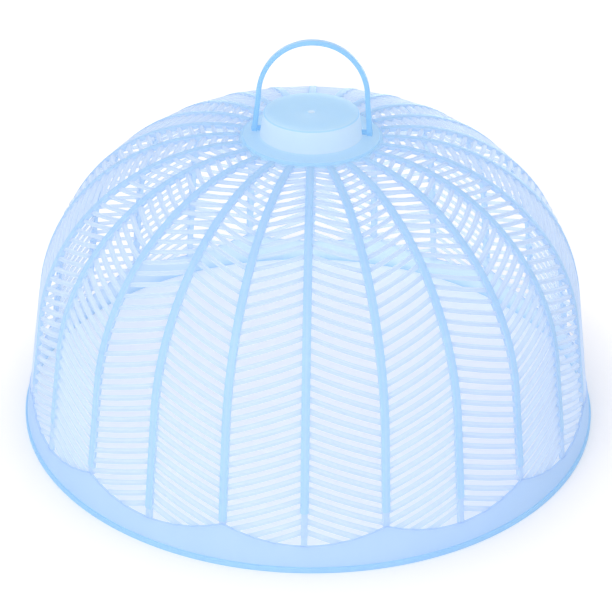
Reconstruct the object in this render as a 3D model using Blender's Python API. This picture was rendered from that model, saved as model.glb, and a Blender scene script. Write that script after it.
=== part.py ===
"""Lattice food cover: a moulded polypropylene dome with a bail handle on its crown.

The origin is the middle of the circle that the rim stands on, +Z up. The front rib faces -Y, and
the handle swings about an axis that is turned a few degrees from X. Lengths are in metres.
"""
import math

import bmesh
import bpy
from mathutils import Matrix, Vector

# Driving dimensions of the dome
RIM_RADIUS = 0.200
LIP_PROUD = 0.0008
LIP_HEIGHT = 0.0036
WALL_HEIGHT = 0.0897
WALL_DRAFT = math.radians(8.7)
SHOULDER_RADIUS = 0.1335

# Skirt: its upper edge hangs in shallow scallops from every second rib
SKIRT_LOW = 0.0184
SKIRT_HIGH = 0.0288
SKIRT_WALL = 0.0018
FACETS_PER_PANEL = 4

# Ribs and slats
RIB_COUNT = 24
RIB_WIDTH = 0.0052
RIB_DEPTH = 0.0030
SLAT_PITCH = 0.0074
SLAT_WIDTH = 0.0033
SLAT_DEPTH = 0.0017
SLAT_RECESS = 0.0006
SLAT_ANGLE = math.radians(22.0)
FIRST_SLAT_RISE = 0.0086
SLATS_PER_STATION = 3

# Crown: a hub ring, the flange disc on it and the hollow boss
HUB_RADIUS = 0.0475
FLANGE_RADIUS = 0.0451
FLANGE_RISE = 0.0007
BOSS_HEIGHT = 0.0155
BOSS_TOP_RADIUS = 0.0314
BOSS_FOOT_RADIUS = 0.0334
BOSS_EDGE = 0.0009
BOSS_FILLET = 0.0023
CROWN_WALL = 0.0020
CROWN_FACETS = 40

# Bail handle: two leaning legs under a flattened arch, its axis turned a little from the ribs
HANDLE_TURN = math.radians(-3.7)
PIVOT_RISE = 0.0026
HANDLE_RISE = 0.0630
ARCH_RISE = 0.0400
ARCH_HALF_SPAN = 0.0368
FOOT_HALF_SPAN = 0.0389
ARCH_POWER = 2.15
STRAP_DEPTH = 0.0040
STRAP_THICKNESS = 0.0027
FOOT_THICKNESS = 0.0038
FOOT_RADIUS = 0.0023
STRAP_BEVEL = 0.0006
PIN_RADIUS = 0.0017
PIN_REACH = 0.0050
PIN_TIP = 0.0006
PIN_CLEARANCE = 0.0003
ARCH_STEPS = 10
ROUND_FACETS = 16

# Fits
CLEARANCE = 0.0003
OVERRUN = 0.0010

# The dome's outer curve: a drafted wall, an arc over the shoulder, then a flat crown. The lattice ends
# where its inner side meets the hub ring: on the flat, or on the arc where the hub is wider than the flat
PANEL_STEP = 2.0 * math.pi / RIB_COUNT
WALL_FOOT_RADIUS = RIM_RADIUS - LIP_PROUD
WALL_RUN = WALL_HEIGHT / math.cos(WALL_DRAFT)
SHOULDER_SWEEP = math.pi / 2.0 - WALL_DRAFT
SHOULDER_END = WALL_RUN + SHOULDER_RADIUS * SHOULDER_SWEEP
SHOULDER_CENTRE_RADIUS = (WALL_FOOT_RADIUS - WALL_RUN * math.sin(WALL_DRAFT)
                          - SHOULDER_RADIUS * math.sin(SHOULDER_SWEEP))
SHOULDER_CENTRE_HEIGHT = WALL_HEIGHT - SHOULDER_RADIUS * math.cos(SHOULDER_SWEEP)
CROWN_HEIGHT = SHOULDER_CENTRE_HEIGHT + SHOULDER_RADIUS
HUB_ROOM = SHOULDER_CENTRE_RADIUS - HUB_RADIUS - CLEARANCE
HUB_LEAN = math.asin(max(0.0, -HUB_ROOM) / (SHOULDER_RADIUS - RIB_DEPTH))
HUB_HEIGHT = SHOULDER_CENTRE_HEIGHT + SHOULDER_RADIUS * math.cos(HUB_LEAN)
LATTICE_END = SHOULDER_END - SHOULDER_RADIUS * HUB_LEAN + max(0.0, HUB_ROOM)
FLANGE_TOP = HUB_HEIGHT + FLANGE_RISE
BOSS_TOP = FLANGE_TOP + BOSS_HEIGHT
PIVOT_HEIGHT = FLANGE_TOP + PIVOT_RISE

# Colour, roughness, transmission weight and IOR of each moulding
RIB_FINISH = (0.43, 0.72, 1.0, 0.35, 0.4, 1.49)
SKIRT_FINISH = (0.49, 0.70, 0.97, 0.35, 0.4, 1.49)
CROWN_FINISH = (0.46, 0.69, 1.0, 0.30, 0.3, 1.49)
HANDLE_FINISH = (0.28, 0.57, 1.0, 0.30, 0.2, 1.49)


def clear_scene():
    """Remove whatever the scene holds."""
    for old in list(bpy.data.objects):
        bpy.data.objects.remove(old, do_unlink=True)


def plastic(name, finish):
    """A translucent moulded plastic."""
    red, green, blue, roughness, transmission, ior = finish
    material = bpy.data.materials.new(name)
    material.use_nodes = True
    shader = material.node_tree.nodes["Principled BSDF"]
    shader.inputs["Base Color"].default_value = (red, green, blue, 1.0)
    shader.inputs["Roughness"].default_value = roughness
    shader.inputs["Metallic"].default_value = 0.0
    shader.inputs["Transmission Weight"].default_value = transmission
    shader.inputs["IOR"].default_value = ior
    material.diffuse_color = (red, green, blue, 1.0)
    return material


def add_object(name, mesh, material, turn=0.0):
    """Link a mesh as a named object, turned about the dome's axis."""
    if not mesh.materials:
        mesh.materials.append(material)
    piece = bpy.data.objects.new(name, mesh)
    piece.rotation_euler = (0.0, 0.0, turn)
    bpy.context.scene.collection.objects.link(piece)
    return piece


def finish_mesh(shape, name, smooth_angle):
    """Turn a bmesh into a mesh whose faces point out, shaded smooth below an angle."""
    bmesh.ops.recalc_face_normals(shape, faces=shape.faces)
    mesh = bpy.data.meshes.new(name)
    shape.to_mesh(mesh)
    shape.free()
    mesh.shade_smooth()
    mesh.set_sharp_from_angle(angle=smooth_angle)
    return mesh


def dome_curve(run, depth=0.0):
    """Radius and height at a run up the outer curve from the rim, and a depth in from it."""
    if run < WALL_RUN:
        lean = SHOULDER_SWEEP
        radius = WALL_FOOT_RADIUS - run * math.sin(WALL_DRAFT)
        height = run * math.cos(WALL_DRAFT)
    elif run < SHOULDER_END:
        lean = (SHOULDER_END - run) / SHOULDER_RADIUS
        radius = SHOULDER_CENTRE_RADIUS + SHOULDER_RADIUS * math.sin(lean)
        height = SHOULDER_CENTRE_HEIGHT + SHOULDER_RADIUS * math.cos(lean)
    else:
        lean = 0.0
        radius = SHOULDER_CENTRE_RADIUS - (run - SHOULDER_END)
        height = CROWN_HEIGHT
    return radius - depth * math.sin(lean), height - depth * math.cos(lean)


def dome_point(run, depth, angle):
    """A point on the dome at an angle round from the front."""
    radius, height = dome_curve(run, depth)
    return Vector((radius * math.sin(angle), -radius * math.cos(angle), height))


def beside_front_rib(run, depth, side):
    """A point on the flat flank of the front rib; side is -1 or 1."""
    radius, height = dome_curve(run, depth)
    return Vector((side * RIB_WIDTH / 2.0, -radius, height))


def scallop(angle):
    """Run of the skirt's upper edge at an angle from a low rib, in the skirt's own facets."""
    facet = PANEL_STEP / FACETS_PER_PANEL
    position = abs(angle) / facet
    low = min(math.floor(position), FACETS_PER_PANEL - 1)

    def edge(index):
        return SKIRT_LOW + (SKIRT_HIGH - SKIRT_LOW) * (index / FACETS_PER_PANEL) ** 2

    return edge(low) + (edge(low + 1) - edge(low)) * (position - low)


def rib_stations(first_run, last_run, spacing):
    """Runs at which a rib's bar is divided, at even steps close to the spacing."""
    steps = max(1, round((last_run - first_run) / spacing))
    return [first_run + (last_run - first_run) * step / steps for step in range(steps + 1)]


def slat_ends(root_run, depth, side):
    """Root and tip of one long edge of a slat that leaves the front rib at root_run.

    The slat drops to the next rib, or stops above the skirt's edge where it meets that first.
    """
    root = beside_front_rib(root_run, depth, side)
    radius = dome_curve(root_run, depth)[0]
    start_angle = math.asin(RIB_WIDTH / 2.0 / radius)
    drop = (radius * PANEL_STEP - RIB_WIDTH) * math.tan(SLAT_ANGLE)
    tip_radius = dome_curve(root_run - drop, depth)[0]
    end_angle = PANEL_STEP - math.asin((RIB_WIDTH / 2.0 + CLEARANCE) / tip_radius)

    def height_over_skirt(share):
        angle = start_angle + (end_angle - start_angle) * share
        return root_run - drop * share - scallop(angle) - CLEARANCE

    share = 1.0
    if height_over_skirt(1.0) < 0.0:
        above, below = 0.0, 1.0
        while below - above > 1e-6:
            share = (above + below) / 2.0
            if height_over_skirt(share) > 0.0:
                above = share
            else:
                below = share
    angle = start_angle + (end_angle - start_angle) * share
    tip = dome_point(root_run - drop * share, depth, side * angle)
    return root, tip


def add_slat(shape, centre_run, side):
    """A slat with a flat outer face and a ridge inside; gives its three root corners."""
    ridge_depth = SLAT_RECESS + SLAT_DEPTH
    edges = [slat_ends(centre_run - SLAT_WIDTH / 2.0, SLAT_RECESS, side),
             slat_ends(centre_run + SLAT_WIDTH / 2.0, SLAT_RECESS, side),
             slat_ends(centre_run, ridge_depth, side)]
    roots = [shape.verts.new(root) for root, tip in edges]
    tips = [shape.verts.new(tip) for root, tip in edges]
    for here in range(3):
        following = (here + 1) % 3
        shape.faces.new((roots[here], roots[following], tips[following], tips[here]))
    shape.faces.new(tips)
    return roots


def add_flank(shape, outer, inner, slats):
    """The flat flank of a rib between its outer and inner edges, round the slats' roots."""
    if not slats:
        for here in range(len(outer) - 1):
            shape.faces.new((outer[here], outer[here + 1], inner[here + 1], inner[here]))
        return
    cells = len(outer) - 1
    groups = [slats[cell * SLATS_PER_STATION:(cell + 1) * SLATS_PER_STATION] for cell in range(cells)]
    for cell, group in enumerate(groups):
        over = [outer[cell + 1], outer[cell]]
        under = [inner[cell + 1], inner[cell]]
        for lower, upper, ridge in group:
            over += [lower, upper]
            under += [lower, ridge, upper]
        shape.faces.new(over)
        shape.faces.new(under)
        if cell:
            before = groups[cell - 1][-1][1]
            shape.faces.new((outer[cell], before, group[0][0]))
            shape.faces.new((inner[cell], before, group[0][0]))
    first, last = groups[0][0][0], groups[-1][-1][1]
    shape.faces.new((outer[0], first, inner[0]))
    shape.faces.new((outer[-1], last, inner[-1]))


def add_bar(shape, stations, slat_runs):
    """The front rib as a flat bar, with slats on both flanks at the given runs."""
    rows = {}
    for side in (-1, 1):
        for depth in (0.0, RIB_DEPTH):
            rows[side, depth] = [shape.verts.new(beside_front_rib(run, depth, side)) for run in stations]
    for depth in (0.0, RIB_DEPTH):
        left, right = rows[-1, depth], rows[1, depth]
        for here in range(len(stations) - 1):
            shape.faces.new((left[here], left[here + 1], right[here + 1], right[here]))
    for end in (0, -1):
        shape.faces.new((rows[-1, 0.0][end], rows[1, 0.0][end],
                         rows[1, RIB_DEPTH][end], rows[-1, RIB_DEPTH][end]))
    for side in (-1, 1):
        slats = [add_slat(shape, run, side) for run in slat_runs]
        add_flank(shape, rows[side, 0.0], rows[side, RIB_DEPTH], slats)


def make_herringbone_leaves(material):
    """Every second rib, with the slats that drop from both its flanks."""
    first_slat = SKIRT_LOW + FIRST_SLAT_RISE
    count = 1 + math.floor((LATTICE_END - SLAT_WIDTH - first_slat) / SLAT_PITCH)
    slat_runs = [first_slat + SLAT_PITCH * number for number in range(count)]
    foot = scallop(math.asin(RIB_WIDTH / 2.0 / WALL_FOOT_RADIUS)) + CLEARANCE
    breaks = slat_runs[SLATS_PER_STATION::SLATS_PER_STATION]
    stations = [foot] + [run - SLAT_PITCH / 2.0 for run in breaks] + [LATTICE_END]
    shape = bmesh.new()
    add_bar(shape, stations, slat_runs)
    mesh = finish_mesh(shape, "herringbone_leaf", math.radians(25.0))
    for number in range(RIB_COUNT // 2):
        add_object(f"herringbone_leaf_{number + 1:02d}", mesh, material, 2.0 * number * PANEL_STEP)


def make_plain_ribs(material):
    """The ribs between the leaves, where the slats' tips meet."""
    spacing = SLATS_PER_STATION * SLAT_PITCH
    wall = rib_stations(SKIRT_HIGH + CLEARANCE, WALL_RUN, WALL_RUN)
    stations = wall + rib_stations(WALL_RUN, min(SHOULDER_END, LATTICE_END), spacing)[1:]
    if LATTICE_END > SHOULDER_END:
        stations.append(LATTICE_END)
    shape = bmesh.new()
    add_bar(shape, stations, [])
    mesh = finish_mesh(shape, "plain_rib", math.radians(25.0))
    for number in range(RIB_COUNT // 2):
        add_object(f"plain_rib_{number + 1:02d}", mesh, material, (2.0 * number + 1.0) * PANEL_STEP)


def skirt_section(angle_from_low):
    """Radius and height of the points round the skirt's section, from its upper outer edge down."""
    edge_run = scallop(angle_from_low)
    lip_top = LIP_HEIGHT / math.cos(WALL_DRAFT)
    wall_at_lip = dome_curve(lip_top)
    inner_foot = (WALL_FOOT_RADIUS - SKIRT_WALL / math.cos(WALL_DRAFT), 0.0)
    return [dome_curve(edge_run), (wall_at_lip[0], wall_at_lip[1]), (RIM_RADIUS, LIP_HEIGHT - LIP_PROUD),
            (RIM_RADIUS, 0.0), inner_foot, dome_curve(edge_run, SKIRT_WALL)]


def make_skirt(material):
    """The scalloped skirt with the lip that the cover stands on."""
    shape = bmesh.new()
    facet = PANEL_STEP / FACETS_PER_PANEL
    rings = []
    for number in range(RIB_COUNT * FACETS_PER_PANEL):
        within = number % (2 * FACETS_PER_PANEL)
        from_low = min(within, 2 * FACETS_PER_PANEL - within) * facet
        angle = number * facet
        rings.append([shape.verts.new((radius * math.sin(angle), -radius * math.cos(angle), height))
                      for radius, height in skirt_section(from_low)])
    for number, ring in enumerate(rings):
        following = rings[(number + 1) % len(rings)]
        for here in range(len(ring)):
            after = (here + 1) % len(ring)
            shape.faces.new((ring[here], ring[after], following[after], following[here]))
    add_object("rim_skirt", finish_mesh(shape, "rim_skirt", math.radians(30.0)), material)


def crown_outline():
    """Radius and height round the crown's section, from the middle of its top to the middle under it."""
    fillet_centre = (BOSS_FOOT_RADIUS + BOSS_FILLET, FLANGE_TOP + BOSS_FILLET)
    fillet = [(fillet_centre[0] - BOSS_FILLET * math.cos(turn), fillet_centre[1] - BOSS_FILLET * math.sin(turn))
              for turn in (0.0, math.pi / 4.0, math.pi / 2.0)]
    hub_bottom = HUB_HEIGHT - RIB_DEPTH
    outer = [(0.0, BOSS_TOP), (BOSS_TOP_RADIUS - BOSS_EDGE, BOSS_TOP), (BOSS_TOP_RADIUS, BOSS_TOP - BOSS_EDGE)]
    rim = [(FLANGE_RADIUS, FLANGE_TOP), (FLANGE_RADIUS, HUB_HEIGHT - FLANGE_RISE),
           (HUB_RADIUS, HUB_HEIGHT - FLANGE_RISE), (HUB_RADIUS, hub_bottom)]
    inner = [(BOSS_FOOT_RADIUS - CROWN_WALL, hub_bottom),
             (BOSS_TOP_RADIUS - CROWN_WALL, BOSS_TOP - CROWN_WALL), (0.0, BOSS_TOP - CROWN_WALL)]
    return outer + fillet + rim + inner


def make_crown(material):
    """The hollow crown, with a hole in each side of the boss for the handle's pins."""
    shape = bmesh.new()
    outline = [shape.verts.new((radius, 0.0, height)) for radius, height in crown_outline()]
    edges = [shape.edges.new(pair) for pair in zip(outline, outline[1:])]
    bmesh.ops.spin(shape, geom=outline + edges, cent=(0.0, 0.0, 0.0), axis=(0.0, 0.0, 1.0),
                   angle=2.0 * math.pi, steps=CROWN_FACETS, use_merge=True)
    bmesh.ops.remove_doubles(shape, verts=shape.verts, dist=CLEARANCE / 10.0)
    crown = add_object("crown_cap", finish_mesh(shape, "crown_cap", math.radians(30.0)), material)
    hole = bmesh.new()
    bmesh.ops.create_cone(hole, cap_ends=True, segments=ROUND_FACETS, radius1=PIN_RADIUS + PIN_CLEARANCE,
                          radius2=PIN_RADIUS + PIN_CLEARANCE, depth=2.0 * (BOSS_FOOT_RADIUS + OVERRUN),
                          matrix=Matrix.Translation((0.0, 0.0, PIVOT_HEIGHT))
                          @ Matrix.Rotation(math.pi / 2.0, 4, "Y"))
    cutter = add_object("pin_hole_cutter", finish_mesh(hole, "pin_hole_cutter", math.radians(30.0)), material,
                        HANDLE_TURN)
    cutter.hide_render = True
    cutter.display_type = "WIRE"
    cut = crown.modifiers.new("pin_holes", "BOOLEAN")
    cut.operation = "DIFFERENCE"
    cut.object = cutter


def handle_line():
    """Half span, height over the pivot and thickness along the strap, from one foot to the top."""
    leg_top = HANDLE_RISE - ARCH_RISE
    points = [(FOOT_HALF_SPAN, 0.0, FOOT_THICKNESS),
              ((FOOT_HALF_SPAN + ARCH_HALF_SPAN) / 2.0, leg_top / 2.0, (FOOT_THICKNESS + STRAP_THICKNESS) / 2.0)]
    for step in range(ARCH_STEPS + 1):
        turn = math.pi / 2.0 * step / ARCH_STEPS
        across = ARCH_HALF_SPAN * math.cos(turn) ** (2.0 / ARCH_POWER)
        up = ARCH_RISE * math.sin(turn) ** (2.0 / ARCH_POWER)
        points.append((across, leg_top + up, STRAP_THICKNESS))
    return points


def add_strap(shape):
    """The strap swept along the handle's outer line, with its corners taken off."""
    half = handle_line()
    line = half + [(-across, up, thick) for across, up, thick in reversed(half[:-1])]
    deep = STRAP_DEPTH / 2.0
    rings = []
    for here, (across, up, thick) in enumerate(line):
        before = Vector(line[max(here - 1, 0)][:2])
        after = Vector(line[min(here + 1, len(line) - 1)][:2])
        along = (after - before).normalized()
        inward = Vector((-along.y, along.x))
        if inward.dot(Vector((-across, HANDLE_RISE - ARCH_RISE - up))) < 0.0:
            inward = -inward
        section = [(0.0, STRAP_BEVEL - deep), (STRAP_BEVEL, -deep), (thick - STRAP_BEVEL, -deep),
                   (thick, STRAP_BEVEL - deep), (thick, deep - STRAP_BEVEL), (thick - STRAP_BEVEL, deep),
                   (STRAP_BEVEL, deep), (0.0, deep - STRAP_BEVEL)]
        ring = []
        for inset, depth in section:
            spot = Vector((across, up)) + inward * inset
            ring.append(shape.verts.new((spot.x, depth, PIVOT_HEIGHT + spot.y)))
        rings.append(ring)
    for ring, following in zip(rings, rings[1:]):
        for here in range(len(ring)):
            after = (here + 1) % len(ring)
            shape.faces.new((ring[here], ring[after], following[after], following[here]))
    shape.faces.new(rings[0])
    shape.faces.new(rings[-1])


def round_bar(name, radius, tip_radius, length, middle, material):
    """A round bar along the handle's axis, as a hidden tool for a union."""
    shape = bmesh.new()
    bmesh.ops.create_cone(shape, cap_ends=True, segments=ROUND_FACETS, radius1=radius, radius2=tip_radius,
                          depth=length, matrix=Matrix.Translation((middle, 0.0, PIVOT_HEIGHT))
                          @ Matrix.Rotation(math.copysign(math.pi / 2.0, -middle), 4, "Y"))
    bar = add_object(name, finish_mesh(shape, name, math.radians(30.0)), material, HANDLE_TURN)
    bar.hide_render = True
    bar.display_type = "WIRE"
    return bar


def make_handle(material):
    """The bail handle: the strap, a round foot on each leg and a pin that points inwards."""
    shape = bmesh.new()
    add_strap(shape)
    handle = add_object("bail_handle", finish_mesh(shape, "bail_handle", math.radians(30.0)), material,
                        HANDLE_TURN)
    foot_middle = FOOT_HALF_SPAN - FOOT_THICKNESS / 2.0
    pin_root = FOOT_HALF_SPAN - FOOT_THICKNESS + OVERRUN
    pin_length = PIN_REACH + OVERRUN
    for side, word in ((-1.0, "left"), (1.0, "right")):
        foot = round_bar(f"{word}_foot_tool", FOOT_RADIUS, FOOT_RADIUS, FOOT_THICKNESS,
                         side * foot_middle, material)
        pin = round_bar(f"{word}_pin_tool", PIN_RADIUS, PIN_RADIUS - PIN_TIP, pin_length,
                        side * (pin_root - pin_length / 2.0), material)
        for tool in (foot, pin):
            join = handle.modifiers.new(tool.name, "BOOLEAN")
            join.operation = "UNION"
            join.object = tool


def build():
    """Make every node of the cover."""
    clear_scene()
    lattice = plastic("pale blue polypropylene lattice", RIB_FINISH)
    make_herringbone_leaves(lattice)
    make_plain_ribs(lattice)
    make_skirt(plastic("pale blue polypropylene skirt", SKIRT_FINISH))
    make_crown(plastic("pale blue polypropylene crown", CROWN_FINISH))
    make_handle(plastic("blue polypropylene handle", HANDLE_FINISH))


build()
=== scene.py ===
"""Looks of the lattice food cover: a pale blue moulded dome with a bail handle, on a white table.

The dome stands on z = 0 with its front rib towards -Y. Lengths are in metres.
"""

import math

import bmesh
import bpy
from mathutils import Matrix, Vector


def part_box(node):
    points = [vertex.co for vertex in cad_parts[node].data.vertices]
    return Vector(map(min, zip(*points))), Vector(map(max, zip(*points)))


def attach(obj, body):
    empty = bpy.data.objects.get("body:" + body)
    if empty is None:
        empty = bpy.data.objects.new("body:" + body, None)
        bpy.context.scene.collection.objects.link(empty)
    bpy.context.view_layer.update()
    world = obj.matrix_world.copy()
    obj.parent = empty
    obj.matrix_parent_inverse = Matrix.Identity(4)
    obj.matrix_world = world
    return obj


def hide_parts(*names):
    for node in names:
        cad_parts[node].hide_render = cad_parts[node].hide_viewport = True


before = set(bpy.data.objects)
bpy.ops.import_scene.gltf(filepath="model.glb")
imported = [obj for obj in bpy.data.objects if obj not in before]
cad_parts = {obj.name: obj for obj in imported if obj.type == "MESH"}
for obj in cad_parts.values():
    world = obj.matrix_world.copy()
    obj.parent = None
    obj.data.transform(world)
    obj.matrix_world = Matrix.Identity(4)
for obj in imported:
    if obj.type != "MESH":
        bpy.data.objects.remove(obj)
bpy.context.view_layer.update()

# The dome's outer curve, as the frame was built
RIM_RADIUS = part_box("rim_skirt")[1].x
LIP_PROUD = 0.0008
LIP_HEIGHT = 0.0036
WALL_HEIGHT = 0.0897
WALL_DRAFT = math.radians(8.7)
SHOULDER_RADIUS = 0.1335
WALL_FOOT_RADIUS = RIM_RADIUS - LIP_PROUD
WALL_RUN = WALL_HEIGHT / math.cos(WALL_DRAFT)
SHOULDER_SWEEP = math.pi / 2.0 - WALL_DRAFT
SHOULDER_END = WALL_RUN + SHOULDER_RADIUS * SHOULDER_SWEEP
SHOULDER_CENTRE_RADIUS = (WALL_FOOT_RADIUS - WALL_RUN * math.sin(WALL_DRAFT)
                          - SHOULDER_RADIUS * math.sin(SHOULDER_SWEEP))
SHOULDER_CENTRE_HEIGHT = WALL_HEIGHT - SHOULDER_RADIUS * math.cos(SHOULDER_SWEEP)
CROWN_HEIGHT = SHOULDER_CENTRE_HEIGHT + SHOULDER_RADIUS

# Skirt
SKIRT_LOW = 0.0184
SKIRT_HIGH = 0.0288
SKIRT_WALL = 0.0018
SKIRT_EDGE = 0.0004
LIP_EDGE = 0.0004
LIP_GROOVE = 0.0003
LIP_EDGE_STEPS = 3
SKIRT_STEPS_PER_PANEL = 16
SKIRT_SMOOTH = 35.0

# Ribs. Each tip is given as lengths with the share of the width that is left, from the end inwards.
# The raised bars end at the runs seen in the photograph, counted from the front rib to the right
RIB_COUNT = 24
PANEL_STEP = 2.0 * math.pi / RIB_COUNT
RIB_WIDTH = 0.0052
RIB_DEPTH = 0.0030
RIB_BAR_DEPTH = 0.0019
RIB_CHAMFER = 0.0007
RIB_CHAMFER_STEPS = 2
RIB_LINE_CUTS = 2
RIB_LINE_REACH = 0.00052
RIB_SIDE_FACING = 0.55
RIB_STRIP_WIDTH = 0.0040
RIB_STRIP_RECESS = 0.0004
RIB_STRIP_CHAMFER = 0.0003
RIB_TIP = ((0.0003, 0.62), (0.0004, 0.82), (0.0006, 0.95), (0.0006, 1.0))
RIB_HUB_GAP = 0.0004
RIB_OVERLAP = 0.0008
RIB_FOOT_RUN = 0.0380
RIB_FEET_SEEN = {0: 0.0405, 2: 0.0355, -1: 0.0302, -2: 0.0245, -3: 0.0330}
SHOULDER_STEPS = 36
RIB_SMOOTH = 25.0

# Slats, with a sloping upper flank
SLAT_PITCH = 0.0074
SLAT_WIDTH = 0.0034
SLAT_DEPTH = 0.0021
SLAT_RECESS = 0.0006
SLAT_ANGLE = math.radians(22.0)
FIRST_SLAT_RISE = 0.0086
SLAT_CHAMFER = 0.0003
SLAT_FLANK = 0.0012
FLANK_FACING = 0.3
SLAT_STEPS = 5
SLAT_SMOOTH = 30.0

# Crown
HUB_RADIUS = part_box("crown_cap")[1].x
BOSS_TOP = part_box("crown_cap")[1].z
FLANGE_RADIUS = 0.0451
FLANGE_RISE = 0.0007
FLANGE_TOP = CROWN_HEIGHT + FLANGE_RISE
BOSS_TOP_RADIUS = 0.0314
BOSS_FOOT_RADIUS = 0.0334
BOSS_EDGE = 0.0010
BOSS_EDGE_STEPS = 4
BOSS_FILLET = 0.0023
BOSS_FILLET_STEPS = 5
BOSS_WALL_FACING = 0.5
CROWN_WALL = 0.0020
STEP_GROOVE = 0.0004
RING_SINK = 0.0012
GATE_RADIUS = 0.0012
GATE_DISH_RADIUS = 0.0024
GATE_DISH_DEPTH = 0.0003
GATE_RING_RADIUS = 0.0034
GATE_RING_DEPTH = 0.0001
CROWN_STEPS = 120
CROWN_SMOOTH = 30.0

# Bail handle
HANDLE_TURN = math.radians(-3.7)
PIVOT_RISE = 0.0026
PIVOT_HEIGHT = FLANGE_TOP + PIVOT_RISE
HANDLE_PLAY = 0.0005
HANDLE_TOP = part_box("bail_handle")[1].z - HANDLE_PLAY
HANDLE_LEAN = 0.0158
ARCH_RISE = 0.0404
ARCH_HALF_SPAN = 0.0371
FOOT_HALF_SPAN = 0.0397
ARCH_POWER = 2.06
STRAP_DEPTH = 0.0040
STRAP_THICKNESS = 0.0032
STRAP_ROUND = 0.0007
STRAP_ROUND_STEPS = 3
STRAP_MERGE = 0.0002
FOOT_THICKNESS = 0.0038
FOOT_RADIUS = 0.0023
FOOT_ROUND = 0.0005
FOOT_ROUND_STEPS = 3
FOOT_STEPS = 48
PIN_RADIUS = 0.0017
PIN_REACH = 0.0055
PIN_TIP = 0.0006
PIN_TIP_STEPS = 2
PIN_STEPS = 32
PIN_CLEARANCE = 0.0003
PIN_HOLE_STEPS = 40
ARCH_STEPS = 24
HANDLE_SMOOTH = 40.0
OUTER_FACING = 0.8

# Smallest length or angle that counts
TOUCH = 1e-6

# Milky polypropylene. Its pigment drifts in clouds of 38 mm and its sheen in patches of 4.2 mm. The
# mould's satin grain is finer than a pixel, so it is drawn as coarse as 0.56 mm, to show
PLASTIC_ROUGHNESS = 0.42
ROUGHNESS_SPREAD = 0.05
PLASTIC_IOR = 1.49
CLOUD_SIZE = 0.03846
CLOUD_DETAIL = 3.0
CLOUD_ROUGHNESS = 0.55
CLOUD_LOW = 0.35
CLOUD_HIGH = 0.65
MIX_CLEAR, MIX_CLOUDY, MIX_RESULT = 6, 7, 2
SHEEN_SIZE = 0.0041667
GRAIN_SIZE = 0.00055556
GRAIN_HEIGHT = 0.0001
FINE_DETAIL = 2.0
LIGHT_INSIDE = 0.80

# The one plastic as each place shows it: name, clear and cloudy colour, share of the light that
# passes and strength of the grain. Solid edges and thick places look deeper, thin ones paler
PLASTICS = {
    # An even, milky blue band
    "skirt": ("moulded polypropylene, 1.8 mm skirt", "B6CDF5", "BCD1F7", 0.72, 0.25),
    # A deeper line along the scallops
    "skirt edge": ("moulded polypropylene, skirt's upper edge", "A4BCE8", "AAC0EA", 0.72, 0.25),
    # The deepest line, round the foot of the dome, and the rims of boss and flange
    "lip": ("moulded polypropylene, solid lip", "9FCAFE", "A5CEFE", 0.62, 0.2),
    # A soft blue disc
    "crown": ("moulded polypropylene, 2 mm crown", "B6D9FF", "BCDDFF", 0.60, 0.2),
    # A pale band, lit from the far side: painted light, a paler copy of the crown's plastic
    "boss wall": ("moulded polypropylene, boss wall with painted glow", "D2E2FE", "D7E6FF", 0.74, 0.2),
    # Firm blue lines that divide the panels
    "rib": ("moulded polypropylene, ribs", "A8CFFE", "AED3FF", 0.56, 0.2),
    # A faint paler line down the middle of a rib
    "rib line": ("moulded polypropylene, over a rib's fin", "AFD3FE", "B5D6FF", 0.56, 0.2),
    # A pale border on both sides of a rib: a painted shade line, in the thin strip's colour
    "strip": ("moulded polypropylene, thin strip", "BACFF9", "C0D3FB", 0.70, 0.2),
    # Pale blades between the white slots
    "slat": ("moulded polypropylene, thin slats", "C3D3F7", "C9D7F9", 0.75, 0.2),
    # The blades' brighter upper side: thinner plastic, and a painted highlight where it faces up
    "slat flank": ("moulded polypropylene, thin flank of a slat", "D2DCF9", "D8E1FB", 0.80, 0.2),
    # A small white spot in the middle of the top: a painted highlight in the gate mark
    "gate mark": ("moulded polypropylene, gate mark with painted highlight", "E4F1FF", "ECF6FF", 0.50, 0.1),
    # The bluest part, thick and glossy
    "bail": ("moulded polypropylene, bail", "88C0F9", "8EC4FA", 0.45, 0.15),
    # The bail's outer face, paler where it looks at the light: painted light
    "bail outside painted light": ("moulded polypropylene, outer face of the bail", "B8DAFB", "BEDEFC", 0.45,
                     0.15),
}

# White table and surroundings. The table's glow rises from the rim outwards, so that the table is
# white there. The surroundings are brighter where they are seen than as light
TABLE_SIZE = 12.0
TABLE_DROP = 0.0002
TABLE_COLOUR = "F9F6F7"
WHITE = "FFFFFF"
GLOW_END = 1.3 * RIM_RADIUS
GLOW_INSIDE = 0.125
GLOW_OUTSIDE = 0.30
SURROUNDINGS = 0.725
SURROUNDINGS_SEEN = 1.0

# Lamps: name, place, width, height and watts. Both aim at one point inside the dome
LAMPS = (("key", (-0.63, -1.57, 1.00), 1.6, 1.6, 13.0),
         ("back_strip", (0.5, 1.85, 0.17), 2.4, 0.3, 15.0))
LAMP_AIM = Vector((0.0, 0.0, 0.1))

# Camera, found from the rim, crown, ribs and silhouette in the photograph
CAMERA_DISTANCE = 1.00929
CAMERA_HEIGHT = 0.67012
CAMERA_SIDE_TURN = math.radians(0.463)
CAMERA_HEADING = math.radians(0.594)
CAMERA_TILT = math.radians(30.63)
CAMERA_ROLL = math.radians(0.567)
CAMERA_FOCAL_PIXELS = 1690.4
SENSOR_WIDTH = 36.0
FRAME_PIXELS = 612


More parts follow.
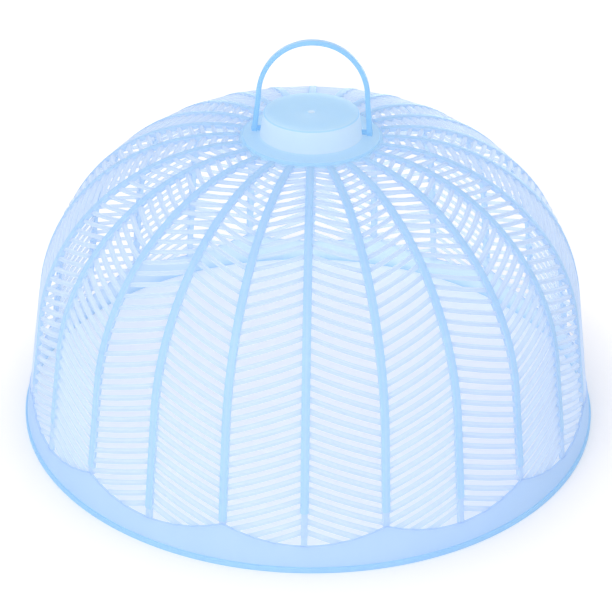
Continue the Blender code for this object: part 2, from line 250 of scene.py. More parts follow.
def dome_curve(run, depth=0.0):
    """Radius and height at a run up the outer curve from the rim, and a depth in from it."""
    if run < WALL_RUN:
        lean = SHOULDER_SWEEP
        radius = WALL_FOOT_RADIUS - run * math.sin(WALL_DRAFT)
        height = run * math.cos(WALL_DRAFT)
    elif run < SHOULDER_END:
        lean = (SHOULDER_END - run) / SHOULDER_RADIUS
        radius = SHOULDER_CENTRE_RADIUS + SHOULDER_RADIUS * math.sin(lean)
        height = SHOULDER_CENTRE_HEIGHT + SHOULDER_RADIUS * math.cos(lean)
    else:
        lean = 0.0
        radius = SHOULDER_CENTRE_RADIUS - (run - SHOULDER_END)
        height = CROWN_HEIGHT
    return radius - depth * math.sin(lean), height - depth * math.cos(lean)


def dome_point(run, depth, angle):
    """A point on the dome at an angle round from the front."""
    radius, height = dome_curve(run, depth)
    return Vector((radius * math.sin(angle), -radius * math.cos(angle), height))


def dome_lean(run):
    """Angle between the dome's outward normal and straight up."""
    return min(SHOULDER_SWEEP, max(0.0, (SHOULDER_END - run) / SHOULDER_RADIUS))


def scallop(angle):
    """Run of the skirt's upper edge at an angle from the front rib, where it hangs lowest."""
    within = abs((angle + PANEL_STEP) % (2.0 * PANEL_STEP) - PANEL_STEP)
    return SKIRT_LOW + (SKIRT_HIGH - SKIRT_LOW) * (within / PANEL_STEP) ** 2


def linear(value):
    """Linear colour of an sRGB hex value."""
    parts = [int(value[place:place + 2], 16) / 255.0 for place in (0, 2, 4)]
    shades = [part / 12.92 if part <= 0.04045 else ((part + 0.055) / 1.055) ** 2.4
              for part in parts]
    return shades + [1.0]


def through(value, clearness):
    """What each face of a milky wall lets past, so that the lit wall shows its colour."""
    shades = []
    for shade in linear(value)[:3]:
        kept = (1.0 - clearness) * shade
        shades.append(min(1.0, math.sqrt((shade - kept) * (1.0 - kept) / LIGHT_INSIDE) / clearness))
    return shades + [1.0]


def add_node(tree, kind, settings=None, **links):
    """Add a node; links are socket names with a value or with the output socket that feeds them."""
    node = tree.nodes.new(kind)
    for name, value in (settings or {}).items():
        setattr(node, name, value)
    for name, value in links.items():
        socket = node.inputs[name.replace("_", " ")]
        if isinstance(value, bpy.types.NodeSocket):
            tree.links.new(value, socket)
        else:
            socket.default_value = value
    return node


def moulded_plastic(name, clear, cloudy, clearness, grain):
    """Milky polypropylene as it leaves a satin mould: thin walls let part of the light through.

    The colour clouds a little over a few centimetres, where the pigment is less well mixed,
    and the mould's fine texture breaks up the gloss.
    """
    material = bpy.data.materials.new(name)
    material.use_nodes = True
    tree = material.node_tree
    tree.nodes.clear()
    place = add_node(tree, "ShaderNodeTexCoord").outputs["Object"]
    clouds = add_node(tree, "ShaderNodeTexNoise", Vector=place, Scale=1.0 / CLOUD_SIZE,
                      Detail=CLOUD_DETAIL, Roughness=CLOUD_ROUGHNESS)
    spread = add_node(tree, "ShaderNodeMapRange", Value=clouds.outputs["Fac"],
                      From_Min=CLOUD_LOW, From_Max=CLOUD_HIGH)
    colour = add_node(tree, "ShaderNodeMix", {"data_type": "RGBA"}, Factor=spread.outputs["Result"])
    colour.inputs[MIX_CLEAR].default_value = linear(clear)
    colour.inputs[MIX_CLOUDY].default_value = linear(cloudy)
    sheen = add_node(tree, "ShaderNodeTexNoise", Vector=place, Scale=1.0 / SHEEN_SIZE,
                     Detail=FINE_DETAIL)
    gloss = add_node(tree, "ShaderNodeMapRange", Value=sheen.outputs["Fac"],
                     To_Min=PLASTIC_ROUGHNESS - ROUGHNESS_SPREAD,
                     To_Max=PLASTIC_ROUGHNESS + ROUGHNESS_SPREAD)
    texture = add_node(tree, "ShaderNodeTexNoise", Vector=place, Scale=1.0 / GRAIN_SIZE,
                       Detail=FINE_DETAIL)
    bump = add_node(tree, "ShaderNodeBump", Height=texture.outputs["Fac"], Strength=grain,
                    Distance=GRAIN_HEIGHT)
    shader = add_node(tree, "ShaderNodeBsdfPrincipled", Roughness=gloss.outputs["Result"],
                      Normal=bump.outputs["Normal"], IOR=PLASTIC_IOR)
    tree.links.new(colour.outputs[MIX_RESULT], shader.inputs["Base Color"])
    glow = add_node(tree, "ShaderNodeBsdfTranslucent", Color=through(clear, clearness))
    wall = add_node(tree, "ShaderNodeMixShader", Fac=clearness)
    tree.links.new(shader.outputs["BSDF"], wall.inputs[1])
    tree.links.new(glow.outputs["BSDF"], wall.inputs[2])
    output = add_node(tree, "ShaderNodeOutputMaterial")
    tree.links.new(wall.outputs[0], output.inputs["Surface"])
    material.diffuse_color = linear(clear)
    material.roughness = PLASTIC_ROUGHNESS
    return material


def start(name, add, **size):
    """Deselect everything, add a primitive and name its object."""
    bpy.ops.object.select_all(action="DESELECT")
    add(**size)
    piece = bpy.context.object
    piece.name = name
    piece.data.name = name
    return piece


def apply_modifier(piece, name, kind, **settings):
    """Put a modifier on a piece and apply it."""
    modifier = piece.modifiers.new(name, kind)
    for key, value in settings.items():
        setattr(modifier, key, value)
    bpy.context.view_layer.objects.active = piece
    bpy.ops.object.modifier_apply(modifier=name)


def close_up(piece, smooth_angle):
    """Merge doubles, point the faces outwards, place the mesh in the frame and shade it."""
    bpy.ops.object.mode_set(mode="OBJECT")
    bpy.ops.object.select_all(action="DESELECT")
    piece.select_set(True)
    bpy.context.view_layer.objects.active = piece
    bpy.ops.object.transform_apply(location=True, rotation=True, scale=True)
    bpy.ops.object.mode_set(mode="EDIT")
    bpy.ops.mesh.select_all(action="SELECT")
    bpy.ops.mesh.remove_doubles(threshold=TOUCH)
    bpy.ops.mesh.normals_make_consistent(inside=False)
    bpy.ops.object.mode_set(mode="OBJECT")
    bpy.ops.object.shade_smooth_by_angle(angle=math.radians(smooth_angle))


def paint(piece, materials, zone=None):
    """Give a piece its materials; zone tells which of them a face takes."""
    piece.data.materials.clear()
    for material in materials:
        piece.data.materials.append(material)
    for face in piece.data.polygons:
        face.material_index = zone(face) if zone else 0


def seat(piece, body, slot, *nodes):
    """Give a piece its body and hide the nodes it stands for; slot is not used."""
    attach(piece, body)
    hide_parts(*nodes)


def copy_piece(piece, name):
    """A copy of a piece with its own mesh."""
    twin = piece.copy()
    twin.data = piece.data.copy()
    twin.name = name
    twin.data.name = name
    bpy.context.scene.collection.objects.link(twin)
    return twin


def push(step):
    """Extrude what is selected and move it by a step."""
    bpy.ops.mesh.extrude_region_move(TRANSFORM_OT_translate={"value": step})


def ring_to(here, there):
    """Extrude the selected ring from one radius and height to the next."""
    push((0.0, 0.0, there[1] - here[1]))
    scale = there[0] / here[0]
    bpy.ops.transform.resize(value=(scale, scale, 1.0), center_override=(0.0, 0.0, there[1]))


def turn(angle, axis, centre):
    """Turn what is selected about an axis through a centre, against the operator's own sense."""
    bpy.ops.transform.rotate(value=-angle, orient_axis=axis, center_override=centre)


def arc(centre, radius, first, last, steps):
    """Radius and height of points on an arc in the section, angles from outwards towards up."""
    turns = [first + (last - first) * step / steps for step in range(steps + 1)]
    return [(centre[0] + radius * math.cos(angle), centre[1] + radius * math.sin(angle))
            for angle in turns]


def revolve_outline(name, outline, steps):
    """Rings of an outline drawn from the middle of the top; it ends in a flat face on the axis."""
    first = outline[0]
    piece = start(name, bpy.ops.mesh.primitive_circle_add, vertices=steps, radius=first[0],
                  fill_type="NGON", location=(0.0, 0.0, first[1]))
    bpy.ops.object.mode_set(mode="EDIT")
    bpy.ops.mesh.select_mode(type="EDGE")
    bpy.ops.mesh.select_all(action="SELECT")
    for here, there in zip(outline, outline[1:]):
        ring_to(here, there)
    bpy.ops.mesh.edge_face_add()
    return piece


def crown_zone(face):
    """0 on the crown's flat parts, 1 on the boss's wall with its painted glow, 2 on the gate mark's
    painted highlight, 3 on solid edges.
    """
    away, height = face.center.xy.length, face.center.z
    # The gate mark is painted white: a painted highlight
    if away < GATE_DISH_RADIUS and height > BOSS_TOP - CROWN_WALL / 2.0:
        return 2
    if away > BOSS_TOP_RADIUS - BOSS_EDGE and height > BOSS_TOP - BOSS_EDGE / 2.0:
        return 3
    if away > FLANGE_RADIUS - STEP_GROOVE and CROWN_HEIGHT - RING_SINK / 2.0 < height < FLANGE_TOP:
        return 3
    # The boss's wall is painted paler than the crown: painted light
    return 1 if abs(face.normal.z) < BOSS_WALL_FACING and height > FLANGE_TOP else 0


def make_crown(materials):
    """The round boss on its flange, with the gate mark in its top and a pin hole in each side."""
    top_edge = arc((BOSS_TOP_RADIUS - BOSS_EDGE, BOSS_TOP - BOSS_EDGE), BOSS_EDGE,
                   math.pi / 2.0, 0.0, BOSS_EDGE_STEPS)
    fillet = arc((BOSS_FOOT_RADIUS + BOSS_FILLET, FLANGE_TOP + BOSS_FILLET), BOSS_FILLET,
                 math.pi, 1.5 * math.pi, BOSS_FILLET_STEPS)
    bottom = CROWN_HEIGHT - RIB_DEPTH
    outline = [(GATE_RADIUS, BOSS_TOP - GATE_DISH_DEPTH),
               (GATE_RADIUS + GATE_DISH_DEPTH, BOSS_TOP - 2.0 * GATE_DISH_DEPTH),
               (GATE_DISH_RADIUS - GATE_DISH_DEPTH, BOSS_TOP - GATE_DISH_DEPTH),
               (GATE_DISH_RADIUS, BOSS_TOP),
               (GATE_RING_RADIUS - GATE_DISH_DEPTH, BOSS_TOP),
               (GATE_RING_RADIUS, BOSS_TOP - GATE_RING_DEPTH),
               (GATE_RING_RADIUS + GATE_DISH_DEPTH, BOSS_TOP)]
    outline += top_edge + fillet
    outline += [(FLANGE_RADIUS - STEP_GROOVE, FLANGE_TOP),
                (FLANGE_RADIUS, FLANGE_TOP - STEP_GROOVE),
                (FLANGE_RADIUS, CROWN_HEIGHT - RING_SINK),
                (HUB_RADIUS - STEP_GROOVE, CROWN_HEIGHT - RING_SINK),
                (HUB_RADIUS, CROWN_HEIGHT - RING_SINK - STEP_GROOVE),
                (HUB_RADIUS, bottom),
                (BOSS_FOOT_RADIUS - CROWN_WALL, bottom),
                (BOSS_TOP_RADIUS - CROWN_WALL, BOSS_TOP - CROWN_WALL)]
    crown = revolve_outline("crown_boss", outline, CROWN_STEPS)
    close_up(crown, CROWN_SMOOTH)
    hole = start("pin_hole", bpy.ops.mesh.primitive_cylinder_add, vertices=PIN_HOLE_STEPS,
                 radius=PIN_RADIUS + PIN_CLEARANCE, depth=2.0 * (BOSS_FOOT_RADIUS + BOSS_FILLET),
                 location=(0.0, 0.0, PIVOT_HEIGHT),
                 rotation=(math.pi / 2.0, 0.0, math.pi / 2.0 + HANDLE_TURN))
    apply_modifier(crown, "pin_holes", "BOOLEAN", operation="DIFFERENCE", object=hole)
    bpy.data.objects.remove(hole, do_unlink=True)
    close_up(crown, CROWN_SMOOTH)
    paint(crown, materials, crown_zone)
    seat(crown, "dome", "crown", "crown_cap")


def skirt_zone(face):
    """0 on the skirt's wall, 1 on its lip, 2 on its upper edge while that is still level."""
    if face.center.z < LIP_HEIGHT:
        return 1
    return 2 if face.center.z > dome_curve(SKIRT_LOW - SKIRT_EDGE)[1] else 0


def make_skirt(materials):
    """The smooth skirt with its hanging scallops, on the thicker lip that the cover stands on."""
    lip_top = LIP_HEIGHT / math.cos(WALL_DRAFT)
    wall_start = dome_curve(lip_top + LIP_GROOVE)
    inner_foot = WALL_FOOT_RADIUS - SKIRT_WALL / math.cos(WALL_DRAFT)
    lip = arc((RIM_RADIUS - LIP_EDGE, LIP_EDGE), LIP_EDGE, -math.pi / 2.0, 0.0, LIP_EDGE_STEPS)
    lip += arc((RIM_RADIUS - LIP_EDGE, LIP_HEIGHT - LIP_EDGE), LIP_EDGE, 0.0, math.pi / 2.0,
               LIP_EDGE_STEPS)
    lip += [(wall_start[0] - LIP_GROOVE, LIP_HEIGHT - LIP_GROOVE), wall_start]
    halfway = SKIRT_LOW / 2.0
    walls = [dome_curve(halfway), dome_curve(SKIRT_LOW - SKIRT_EDGE),
             dome_curve(SKIRT_LOW, SKIRT_EDGE), dome_curve(SKIRT_LOW, SKIRT_WALL - SKIRT_EDGE),
             dome_curve(SKIRT_LOW - SKIRT_EDGE, SKIRT_WALL), dome_curve(halfway, SKIRT_WALL)]
    outline = [(inner_foot, 0.0)] + lip + walls
    steps = RIB_COUNT * SKIRT_STEPS_PER_PANEL
    skirt = start("skirt_band", bpy.ops.mesh.primitive_circle_add, vertices=steps,
                  radius=outline[0][0], fill_type="NOTHING", location=(0.0, 0.0, 0.0))
    bpy.ops.object.mode_set(mode="EDIT")
    bpy.ops.mesh.select_mode(type="EDGE")
    bpy.ops.mesh.select_all(action="SELECT")
    for here, there in zip(outline, outline[1:]):
        ring_to(here, there)
    ring_to(outline[-1], outline[0])
    close_up(skirt, SKIRT_SMOOTH)
    paint(skirt, materials, skirt_zone)
    seat(skirt, "dome", "skirt", "rim_skirt")
    wall_foot = wall_start[1]
    for vert in skirt.data.vertices:
        # The wall is stretched up to the scallops, its edge by all of their height
        share = (vert.co.z - wall_foot) / (dome_curve(SKIRT_LOW)[1] - wall_foot)
        if share > 0.0:
            angle = math.atan2(vert.co.x, -vert.co.y)
            lift = (scallop(angle) - SKIRT_LOW) * share
            vert.co += dome_point(SKIRT_LOW + lift, 0.0, angle) - dome_point(SKIRT_LOW, 0.0, angle)


def curve_frame(run):
    """Directions up the curve and out of it, at the front."""
    lean = dome_lean(run)
    return (Vector((0.0, math.cos(lean), math.sin(lean))),
            Vector((0.0, -math.sin(lean), math.cos(lean))))


def start_section(name, run, outer, inner, width_up, width_across):
    """A rectangle at the front rib to extrude from: square to the rib if its width runs across,
    square to the slats if its width runs up the curve.
    """
    up, out = curve_frame(run)
    middle = dome_point(run, (outer + inner) / 2.0, 0.0)
    across = Vector((1.0, 0.0, 0.0))
    axes = (up, out, across) if width_up else (across, out, -up)
    section = start(name, bpy.ops.mesh.primitive_plane_add, size=1.0, location=middle,
                    rotation=Matrix(axes).transposed().to_euler())
    bpy.ops.object.mode_set(mode="EDIT")
    bpy.ops.transform.resize(value=(width_up or width_across, inner - outer, 1.0),
                             orient_type="LOCAL", center_override=middle)
    return section


def pick(piece, test, kind="VERT"):
    """Select the elements of a piece whose vertices all pass a test on their local place."""
    bpy.ops.mesh.select_mode(type=kind)
    bpy.ops.mesh.select_all(action="DESELECT")
    shape = bmesh.from_edit_mesh(piece.data)
    for element in {"VERT": shape.verts, "EDGE": shape.edges, "FACE": shape.faces}[kind]:
        if all(test(vert.co) for vert in ([element] if kind == "VERT" else element.verts)):
            element.select_set(True)
    shape.select_flush_mode()
    bmesh.update_edit_mesh(piece.data)


def tip_off(tip, direction, middle):
    """Extrude the selected end of a bar along a direction and narrow it step by step."""
    share = 1.0
    for length, following in tip:
        push(direction * length)
        middle += direction * length
        bpy.ops.transform.resize(value=(following / share, 1.0, 1.0), center_override=middle)
        share = following


def make_bar(name, width, outer, inner, foot_run, top_radius, chamfer, tip, lines):
    """A bar up the front of the dome, from a run on the wall to a radius on the flat crown.

    With lines, its outer face is cut lengthwise, so that the middle can look different.
    """
    up = curve_frame(0.0)[0]
    tip_length = sum(length for length, share in tip)
    bar = start_section(name, foot_run + tip_length, outer, inner, 0.0, width)
    pick(bar, lambda place: place.y > 0.0)
    bpy.ops.mesh.bevel(offset=chamfer, segments=RIB_CHAMFER_STEPS, affect="VERTICES")
    if lines:
        pick(bar, lambda place: place.y > (inner - outer) / 2.0 - TOUCH, "EDGE")
        bpy.ops.mesh.subdivide(number_cuts=RIB_LINE_CUTS)
    bpy.ops.mesh.select_mode(type="FACE")
    bpy.ops.mesh.select_all(action="SELECT")
    push(up * (WALL_RUN - foot_run - tip_length))
    bpy.ops.mesh.spin(steps=SHOULDER_STEPS, angle=SHOULDER_SWEEP, axis=(1.0, 0.0, 0.0),
                      center=(0.0, -SHOULDER_CENTRE_RADIUS, SHOULDER_CENTRE_HEIGHT))
    push((0.0, SHOULDER_CENTRE_RADIUS - top_radius - tip_length, 0.0))
    if tip:
        middle_depth = (outer + inner) / 2.0
        tip_off(tip[::-1], Vector((0.0, 1.0, 0.0)),
                Vector((0.0, -top_radius - tip_length, CROWN_HEIGHT - middle_depth)))
        pick(bar, lambda place: place.z > -TOUCH, "FACE")
        tip_off(tip[::-1], -up, dome_point(foot_run + tip_length, middle_depth, 0.0))
    close_up(bar, RIB_SMOOTH)
    return bar


def slide_down(run, drop):
    """Move what is selected down the curve at the front, from a run by a drop."""
    flat = min(drop, max(0.0, run - SHOULDER_END))
    wall = min(drop, max(0.0, WALL_RUN - run + drop))
    bend = drop - flat - wall
    if flat > 0.0:
        bpy.ops.transform.translate(value=(0.0, -flat, 0.0))
    if bend > 0.0:
        turn(bend / SHOULDER_RADIUS, "X", (0.0, -SHOULDER_CENTRE_RADIUS, SHOULDER_CENTRE_HEIGHT))
    if wall > 0.0:
        bpy.ops.transform.translate(value=(0.0, -wall * math.sin(WALL_DRAFT),
                                           -wall * math.cos(WALL_DRAFT)))


def cut_off(place, direction):
    """Cut away what lies beyond a plane, and close the cut."""
    bpy.ops.mesh.select_all(action="SELECT")
    bpy.ops.mesh.bisect(plane_co=place, plane_no=direction, use_fill=True, clear_outer=True)


def make_slat(name, root_run):
    """A slat right of the front rib: it drops to the next rib, or ends at the skirt's edge."""
    radius = dome_curve(root_run)[0]
    root_angle = RIB_WIDTH / 2.0 / radius
    drop = (radius * PANEL_STEP - RIB_WIDTH) * math.tan(SLAT_ANGLE)
    fall = drop / (PANEL_STEP - 2.0 * root_angle)
    high_run = root_run + fall * root_angle
    slat = start_section(name, high_run, SLAT_RECESS, SLAT_RECESS + SLAT_DEPTH, SLAT_WIDTH, 0.0)
    pick(slat, lambda place: place.x > 0.0 and place.y > 0.0)
    bpy.ops.transform.translate(value=-curve_frame(high_run)[0] * SLAT_FLANK)
    pick(slat, lambda place: place.y > 0.0)
    bpy.ops.mesh.bevel(offset=SLAT_CHAMFER, segments=1, affect="VERTICES")
    bpy.ops.mesh.select_mode(type="FACE")
    bpy.ops.mesh.select_all(action="SELECT")
    step = PANEL_STEP / SLAT_STEPS
    run = high_run
    for number in range(SLAT_STEPS):
        push((0.0, 0.0, 0.0))
        turn(-number * step, "Z", (0.0, 0.0, 0.0))
        slide_down(run, fall * step)
        turn((number + 1) * step, "Z", (0.0, 0.0, 0.0))
        run -= fall * step
    cut_off((RIB_WIDTH / 2.0 - RIB_OVERLAP, 0.0, 0.0), (-1.0, 0.0, 0.0))
    along = Vector((math.cos(PANEL_STEP), math.sin(PANEL_STEP), 0.0))
    cut_off(along * (RIB_OVERLAP - RIB_WIDTH / 2.0), along)
    if high_run - fall * PANEL_STEP < SKIRT_HIGH:
        # The angle at which the slat meets the skirt's scalloped edge
        low, high = 0.0, PANEL_STEP
        while high - low > TOUCH:
            angle = (low + high) / 2.0
            if high_run - fall * angle > scallop(angle):
                low = angle
            else:
                high = angle
        across = Vector((math.cos(low), math.sin(low), 0.0))
        up = Vector((-math.sin(WALL_DRAFT) * math.sin(low), math.sin(WALL_DRAFT) * math.cos(low),
                     math.cos(WALL_DRAFT)))
        slope = 2.0 * (SKIRT_HIGH - SKIRT_LOW) * low / PANEL_STEP ** 2
        normal = (up * radius - across * slope).normalized()
        cut_off(dome_point(scallop(low), 0.0, low) - normal * RIB_OVERLAP, -normal)
    close_up(slat, SLAT_SMOOTH)
    return slat


def join(name, pieces):
    """Join pieces into one of this name."""
    bpy.ops.object.select_all(action="DESELECT")
    for piece in pieces:
        piece.select_set(True)
    bpy.context.view_layer.objects.active = pieces[0]
    if len(pieces) > 1:
        bpy.ops.object.join()
    pieces[0].name = name
    pieces[0].data.name = name
    return pieces[0]


def slat_zone(face):
    """1 on a slat's upper flank, which looks up the dome's curve and outwards and is painted
    brighter, partly as a painted highlight, and 0 elsewhere.
    """
    place = face.center
    away = Vector((place.x, place.y, 0.0)).normalized()
    lean = min(SHOULDER_SWEEP, math.atan2(place.xy.length - SHOULDER_CENTRE_RADIUS,
                                          place.z - SHOULDER_CENTRE_HEIGHT))
    out = away * math.sin(lean) + Vector((0.0, 0.0, math.cos(lean)))
    up = Vector((0.0, 0.0, math.sin(lean))) - away * math.cos(lean)
    # The upper flank is painted brighter: thinner plastic and a painted highlight
    return 1 if min(face.normal.dot(up), face.normal.dot(out)) > FLANK_FACING else 0


def make_slats(materials):
    """The slats on both sides of the front rib, each with a thin sloping upper flank."""
    first_run = SKIRT_LOW + FIRST_SLAT_RISE
    lattice_end = SHOULDER_END + SHOULDER_CENTRE_RADIUS - HUB_RADIUS
    count = 1 + math.floor((lattice_end + SLAT_WIDTH - first_run) / SLAT_PITCH)
    slats = join("slats", [make_slat(f"slat_{number + 1:02d}", first_run + SLAT_PITCH * number)
                           for number in range(count)])
    apply_modifier(slats, "both_sides", "MIRROR", use_axis=(True, False, False),
                   use_mirror_merge=False)
    close_up(slats, SLAT_SMOOTH)
    paint(slats, materials, slat_zone)
    return slats


def bar_zone(face):
    """0 on a rib's outer face, 1 on the paler line along its middle, 2 on its thin sides, which
    carry a pale painted shade line.
    """
    # A rib's sides are painted in the strip's colour: a pale painted shade line
    if abs(face.normal.x) > RIB_SIDE_FACING:
        return 2
    return 1 if abs(face.center.x) < RIB_LINE_REACH else 0


def make_ribs(materials):
    """The raised bar of a rib, and the strip under it for the skirt's low and for its high edge."""
    bar = make_bar("rib_bar", RIB_WIDTH, 0.0, RIB_BAR_DEPTH, RIB_FOOT_RUN, HUB_RADIUS + RIB_HUB_GAP,
                   RIB_CHAMFER, RIB_TIP, True)
    paint(bar, materials, bar_zone)
    strips = []
    for name, edge in (("low_strip", SKIRT_LOW), ("high_strip", SKIRT_HIGH)):
        strip = make_bar(name, RIB_STRIP_WIDTH, RIB_STRIP_RECESS, RIB_DEPTH, edge - RIB_OVERLAP,
                         HUB_RADIUS - RIB_HUB_GAP, RIB_STRIP_CHAMFER, (), False)
        paint(strip, materials[-1:])
        strips.append(strip)
    return bar, strips


def handle_line():
    """Middle, direction and thickness of the strap along one half of the handle, foot first."""
    leg_top = HANDLE_TOP - PIVOT_HEIGHT - ARCH_RISE
    outer = [(FOOT_HALF_SPAN, 0.0, FOOT_THICKNESS),
             ((FOOT_HALF_SPAN + ARCH_HALF_SPAN) / 2.0, leg_top / 2.0,
              (FOOT_THICKNESS + STRAP_THICKNESS) / 2.0)]
    for step in range(ARCH_STEPS + 1):
        angle = math.pi / 2.0 * step / ARCH_STEPS
        outer.append((ARCH_HALF_SPAN * math.cos(angle) ** (2.0 / ARCH_POWER),
                      leg_top + ARCH_RISE * math.sin(angle) ** (2.0 / ARCH_POWER), STRAP_THICKNESS))
    stations = []
    for here, (across, up, thick) in enumerate(outer):
        before, after = outer[max(here - 1, 0)], outer[min(here + 1, len(outer) - 1)]
        along = Vector((after[0] - before[0], after[1] - before[1])).normalized()
        if here == len(outer) - 1:
            # Level at the top, where the two halves meet
            along = Vector((-1.0, 0.0))
        middle = Vector((across, up)) + Vector((-along.y, along.x)) * thick / 2.0
        stations.append((middle, along, thick))
    return stations


def bail_zone(face):
    """1 on the bail's outer face, which looks away from the middle of its arch and carries painted
    light, and 0 elsewhere.
    """
    outwards = face.center - Vector((0.0, 0.0, HANDLE_TOP - ARCH_RISE))
    outwards.z = max(0.0, outwards.z)
    # The outer face is painted paler: painted light
    return 1 if face.normal.dot(outwards.normalized()) > OUTER_FACING else 0


def make_handle(materials):
    """The bail: a rounded strap from foot to foot, with a round foot and a pin on each end."""
    stations = handle_line()
    middle, along, thick = stations[0]
    place = Vector((middle.x, 0.0, PIVOT_HEIGHT + middle.y))
    strap = start("bail_strap", bpy.ops.mesh.primitive_plane_add, size=1.0, location=place,
                  rotation=(0.0, -math.atan2(-along.x, along.y), 0.0))
    bpy.ops.object.mode_set(mode="EDIT")
    bpy.ops.transform.resize(value=(thick, STRAP_DEPTH, 1.0), orient_type="LOCAL",
                             center_override=place)
    pick(strap, lambda spot: True)
    bpy.ops.mesh.bevel(offset=STRAP_ROUND, segments=STRAP_ROUND_STEPS, affect="VERTICES")
    bpy.ops.mesh.select_mode(type="FACE")
    bpy.ops.mesh.select_all(action="SELECT")
    for following, direction, width in stations[1:]:
        there = Vector((following.x, 0.0, PIVOT_HEIGHT + following.y))
        push(there - place)
        bpy.ops.transform.resize(value=(width / thick, 1.0, 1.0), center_override=there)
        turn(math.atan2(direction.x, direction.y) - math.atan2(along.x, along.y), "Y", there)
        place, along, thick = there, direction, width
    bpy.ops.mesh.delete(type="FACE")
    close_up(strap, HANDLE_SMOOTH)
    apply_modifier(strap, "other_leg", "MIRROR", use_axis=(True, False, False),
                   merge_threshold=STRAP_MERGE)
    close_up(strap, HANDLE_SMOOTH)
    for vert in strap.data.vertices:
        vert.co.x += HANDLE_LEAN * max(0.0, vert.co.z - PIVOT_HEIGHT)
    foot_middle = FOOT_HALF_SPAN - FOOT_THICKNESS / 2.0
    pin_length = PIN_REACH + FOOT_THICKNESS / 2.0
    sideways = (0.0, math.pi / 2.0, 0.0)
    for side in (-1.0, 1.0):
        foot = start("foot", bpy.ops.mesh.primitive_cylinder_add, vertices=FOOT_STEPS,
                     radius=FOOT_RADIUS, depth=FOOT_THICKNESS, rotation=sideways,
                     location=(side * foot_middle, 0.0, PIVOT_HEIGHT))
        apply_modifier(foot, "edge", "BEVEL", width=FOOT_ROUND, segments=FOOT_ROUND_STEPS)
        pin = start("pin", bpy.ops.mesh.primitive_cylinder_add, vertices=PIN_STEPS,
                    radius=PIN_RADIUS, depth=pin_length, rotation=sideways,
                    location=(side * (foot_middle - pin_length / 2.0), 0.0, PIVOT_HEIGHT))
        apply_modifier(pin, "edge", "BEVEL", width=PIN_TIP, segments=PIN_TIP_STEPS)
        for end in (foot, pin):
            close_up(end, HANDLE_SMOOTH)
            apply_modifier(strap, "join", "BOOLEAN", operation="UNION", object=end)
            bpy.data.objects.remove(end, do_unlink=True)
    paint(strap, materials, bail_zone)
    seat(strap, "handle", "handle", "bail_handle")
    strap.data.transform(Matrix.Rotation(HANDLE_TURN, 4, "Z")
                         @ Matrix.Translation((HANDLE_PLAY, 0.0, 0.0)))
    close_up(strap, HANDLE_SMOOTH)


def make_leaves(bar, strips, slats):
    """All the ribs round the dome, every second one with its slats, each bar as low as is seen."""
    up = curve_frame(0.0)[0]
    for number in range(RIB_COUNT):
        with_slats = number % 2 == 0
        beside = number if number <= RIB_COUNT // 2 else number - RIB_COUNT
        rib = copy_piece(bar, "bar")
        shift = up * (RIB_FEET_SEEN.get(beside, RIB_FOOT_RUN) - RIB_FOOT_RUN)
        for vert in rib.data.vertices:
            # Below this height a bar has only the vertices of its lower tip
            if vert.co.z < WALL_HEIGHT / 2.0:
                vert.co += shift
        apply_modifier(rib, "strip", "BOOLEAN", operation="UNION", object=strips[number % 2],
                       material_mode="TRANSFER")
        close_up(rib, RIB_SMOOTH)
        pair = number // 2 + 1
        node = f"herringbone_leaf_{pair:02d}" if with_slats else f"plain_rib_{pair:02d}"
        parts = [rib, copy_piece(slats, "slats")] if with_slats else [rib]
        leaf = join(node + "_look", parts)
        leaf.data.transform(Matrix.Rotation(number * PANEL_STEP, 4, "Z"))
        seat(leaf, "dome", "lattice" if with_slats else "rib", node)


def build_look():
    """The whole cover: crown, skirt and handle, then the lattice from its three patterns."""
    plastic = {place: moulded_plastic(*values) for place, values in PLASTICS.items()}
    make_crown([plastic["crown"], plastic["boss wall"], plastic["gate mark"], plastic["lip"]])
    make_skirt([plastic["skirt"], plastic["lip"], plastic["skirt edge"]])
    make_handle([plastic["bail"], plastic["bail outside painted light"]])
    slats = make_slats([plastic["slat"], plastic["slat flank"]])
    bar, strips = make_ribs([plastic["rib"], plastic["rib line"], plastic["strip"]])
    make_leaves(bar, strips, slats)
    for pattern in [bar, slats] + strips:
        bpy.data.objects.remove(pattern, do_unlink=True)


def seen_directly(tree):
    """1 for a ray from the camera, a reflection or clear plastic, and 0 for scattered light."""
    ray = add_node(tree, "ShaderNodeLightPath")
    seen = ray.outputs["Is Camera Ray"]
    for other in ("Is Glossy Ray", "Is Transmission Ray"):
        either = add_node(tree, "ShaderNodeMath", {"operation": "MAXIMUM"})
        tree.links.new(seen, either.inputs[0])
        tree.links.new(ray.outputs[other], either.inputs[1])
        seen = either.outputs[0]
    return seen


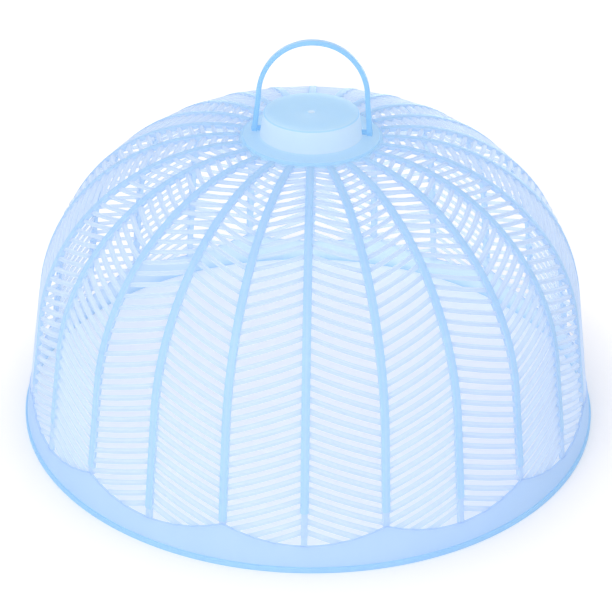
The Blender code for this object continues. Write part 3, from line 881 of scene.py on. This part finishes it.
def make_table():
    """White table, which glows a little to the camera and keeps the cover's shadow."""
    bpy.ops.object.select_all(action="DESELECT")
    bpy.ops.mesh.primitive_plane_add(size=TABLE_SIZE, location=(0.0, 0.0, -TABLE_DROP))
    table = bpy.context.object
    table.name = "white_table"
    material = bpy.data.materials.new("white laminate table")
    material.use_nodes = True
    tree = material.node_tree
    tree.nodes.clear()
    lit = add_node(tree, "ShaderNodeBsdfDiffuse", Color=linear(TABLE_COLOUR))
    place = add_node(tree, "ShaderNodeTexCoord").outputs["Object"]
    away = add_node(tree, "ShaderNodeVectorMath", {"operation": "LENGTH"}, Vector=place)
    rise = add_node(tree, "ShaderNodeMapRange", Value=away.outputs["Value"],
                    From_Min=RIM_RADIUS, From_Max=GLOW_END, To_Min=GLOW_INSIDE, To_Max=GLOW_OUTSIDE)
    white = add_node(tree, "ShaderNodeEmission", Color=linear(WHITE),
                     Strength=rise.outputs["Result"])
    both = add_node(tree, "ShaderNodeAddShader")
    tree.links.new(lit.outputs[0], both.inputs[0])
    tree.links.new(white.outputs[0], both.inputs[1])
    mixed = add_node(tree, "ShaderNodeMixShader")
    tree.links.new(seen_directly(tree), mixed.inputs[0])
    tree.links.new(lit.outputs[0], mixed.inputs[1])
    tree.links.new(both.outputs[0], mixed.inputs[2])
    output = add_node(tree, "ShaderNodeOutputMaterial")
    tree.links.new(mixed.outputs[0], output.inputs["Surface"])
    table.data.materials.append(material)


def make_surroundings():
    """White surroundings that light the cover softly from all sides."""
    world = bpy.data.worlds.new("white surroundings")
    bpy.context.scene.world = world
    world.use_nodes = True
    tree = world.node_tree
    tree.nodes.clear()
    strength = add_node(tree, "ShaderNodeMapRange", Value=seen_directly(tree),
                        To_Min=SURROUNDINGS, To_Max=SURROUNDINGS_SEEN)
    air = add_node(tree, "ShaderNodeBackground", Color=linear(WHITE),
                   Strength=strength.outputs["Result"])
    output = add_node(tree, "ShaderNodeOutputWorld")
    tree.links.new(air.outputs[0], output.inputs["Surface"])


def make_lamps():
    """A large soft key over the front left, and a low strip behind, through the far wall."""
    for name, place, width, height, watts in LAMPS:
        lamp = bpy.data.lights.new(name, "AREA")
        lamp.shape = "ELLIPSE"
        lamp.size = width
        lamp.size_y = height
        lamp.energy = watts
        stand = bpy.data.objects.new(name, lamp)
        stand.location = place
        stand.rotation_euler = (LAMP_AIM - Vector(place)).to_track_quat("-Z", "Y").to_euler()
        bpy.context.scene.collection.objects.link(stand)


def make_camera():
    """The camera at the photograph's viewing angle."""
    lens = bpy.data.cameras.new("camera")
    lens.sensor_width = SENSOR_WIDTH
    lens.lens = lens.sensor_width * CAMERA_FOCAL_PIXELS / FRAME_PIXELS
    camera = bpy.data.objects.new("camera", lens)
    camera.location = (CAMERA_DISTANCE * math.sin(CAMERA_SIDE_TURN),
                       -CAMERA_DISTANCE * math.cos(CAMERA_SIDE_TURN), CAMERA_HEIGHT)
    look = (Matrix.Rotation(CAMERA_HEADING, 3, "Z")
            @ Matrix.Rotation(math.pi / 2.0 - CAMERA_TILT, 3, "X")
            @ Matrix.Rotation(CAMERA_ROLL, 3, "Z"))
    camera.rotation_euler = look.to_euler()
    bpy.context.scene.collection.objects.link(camera)
    bpy.context.scene.camera = camera


build_look()
make_table()
make_surroundings()
make_lamps()
make_camera()
bpy.context.scene.view_settings.view_transform = "Standard"
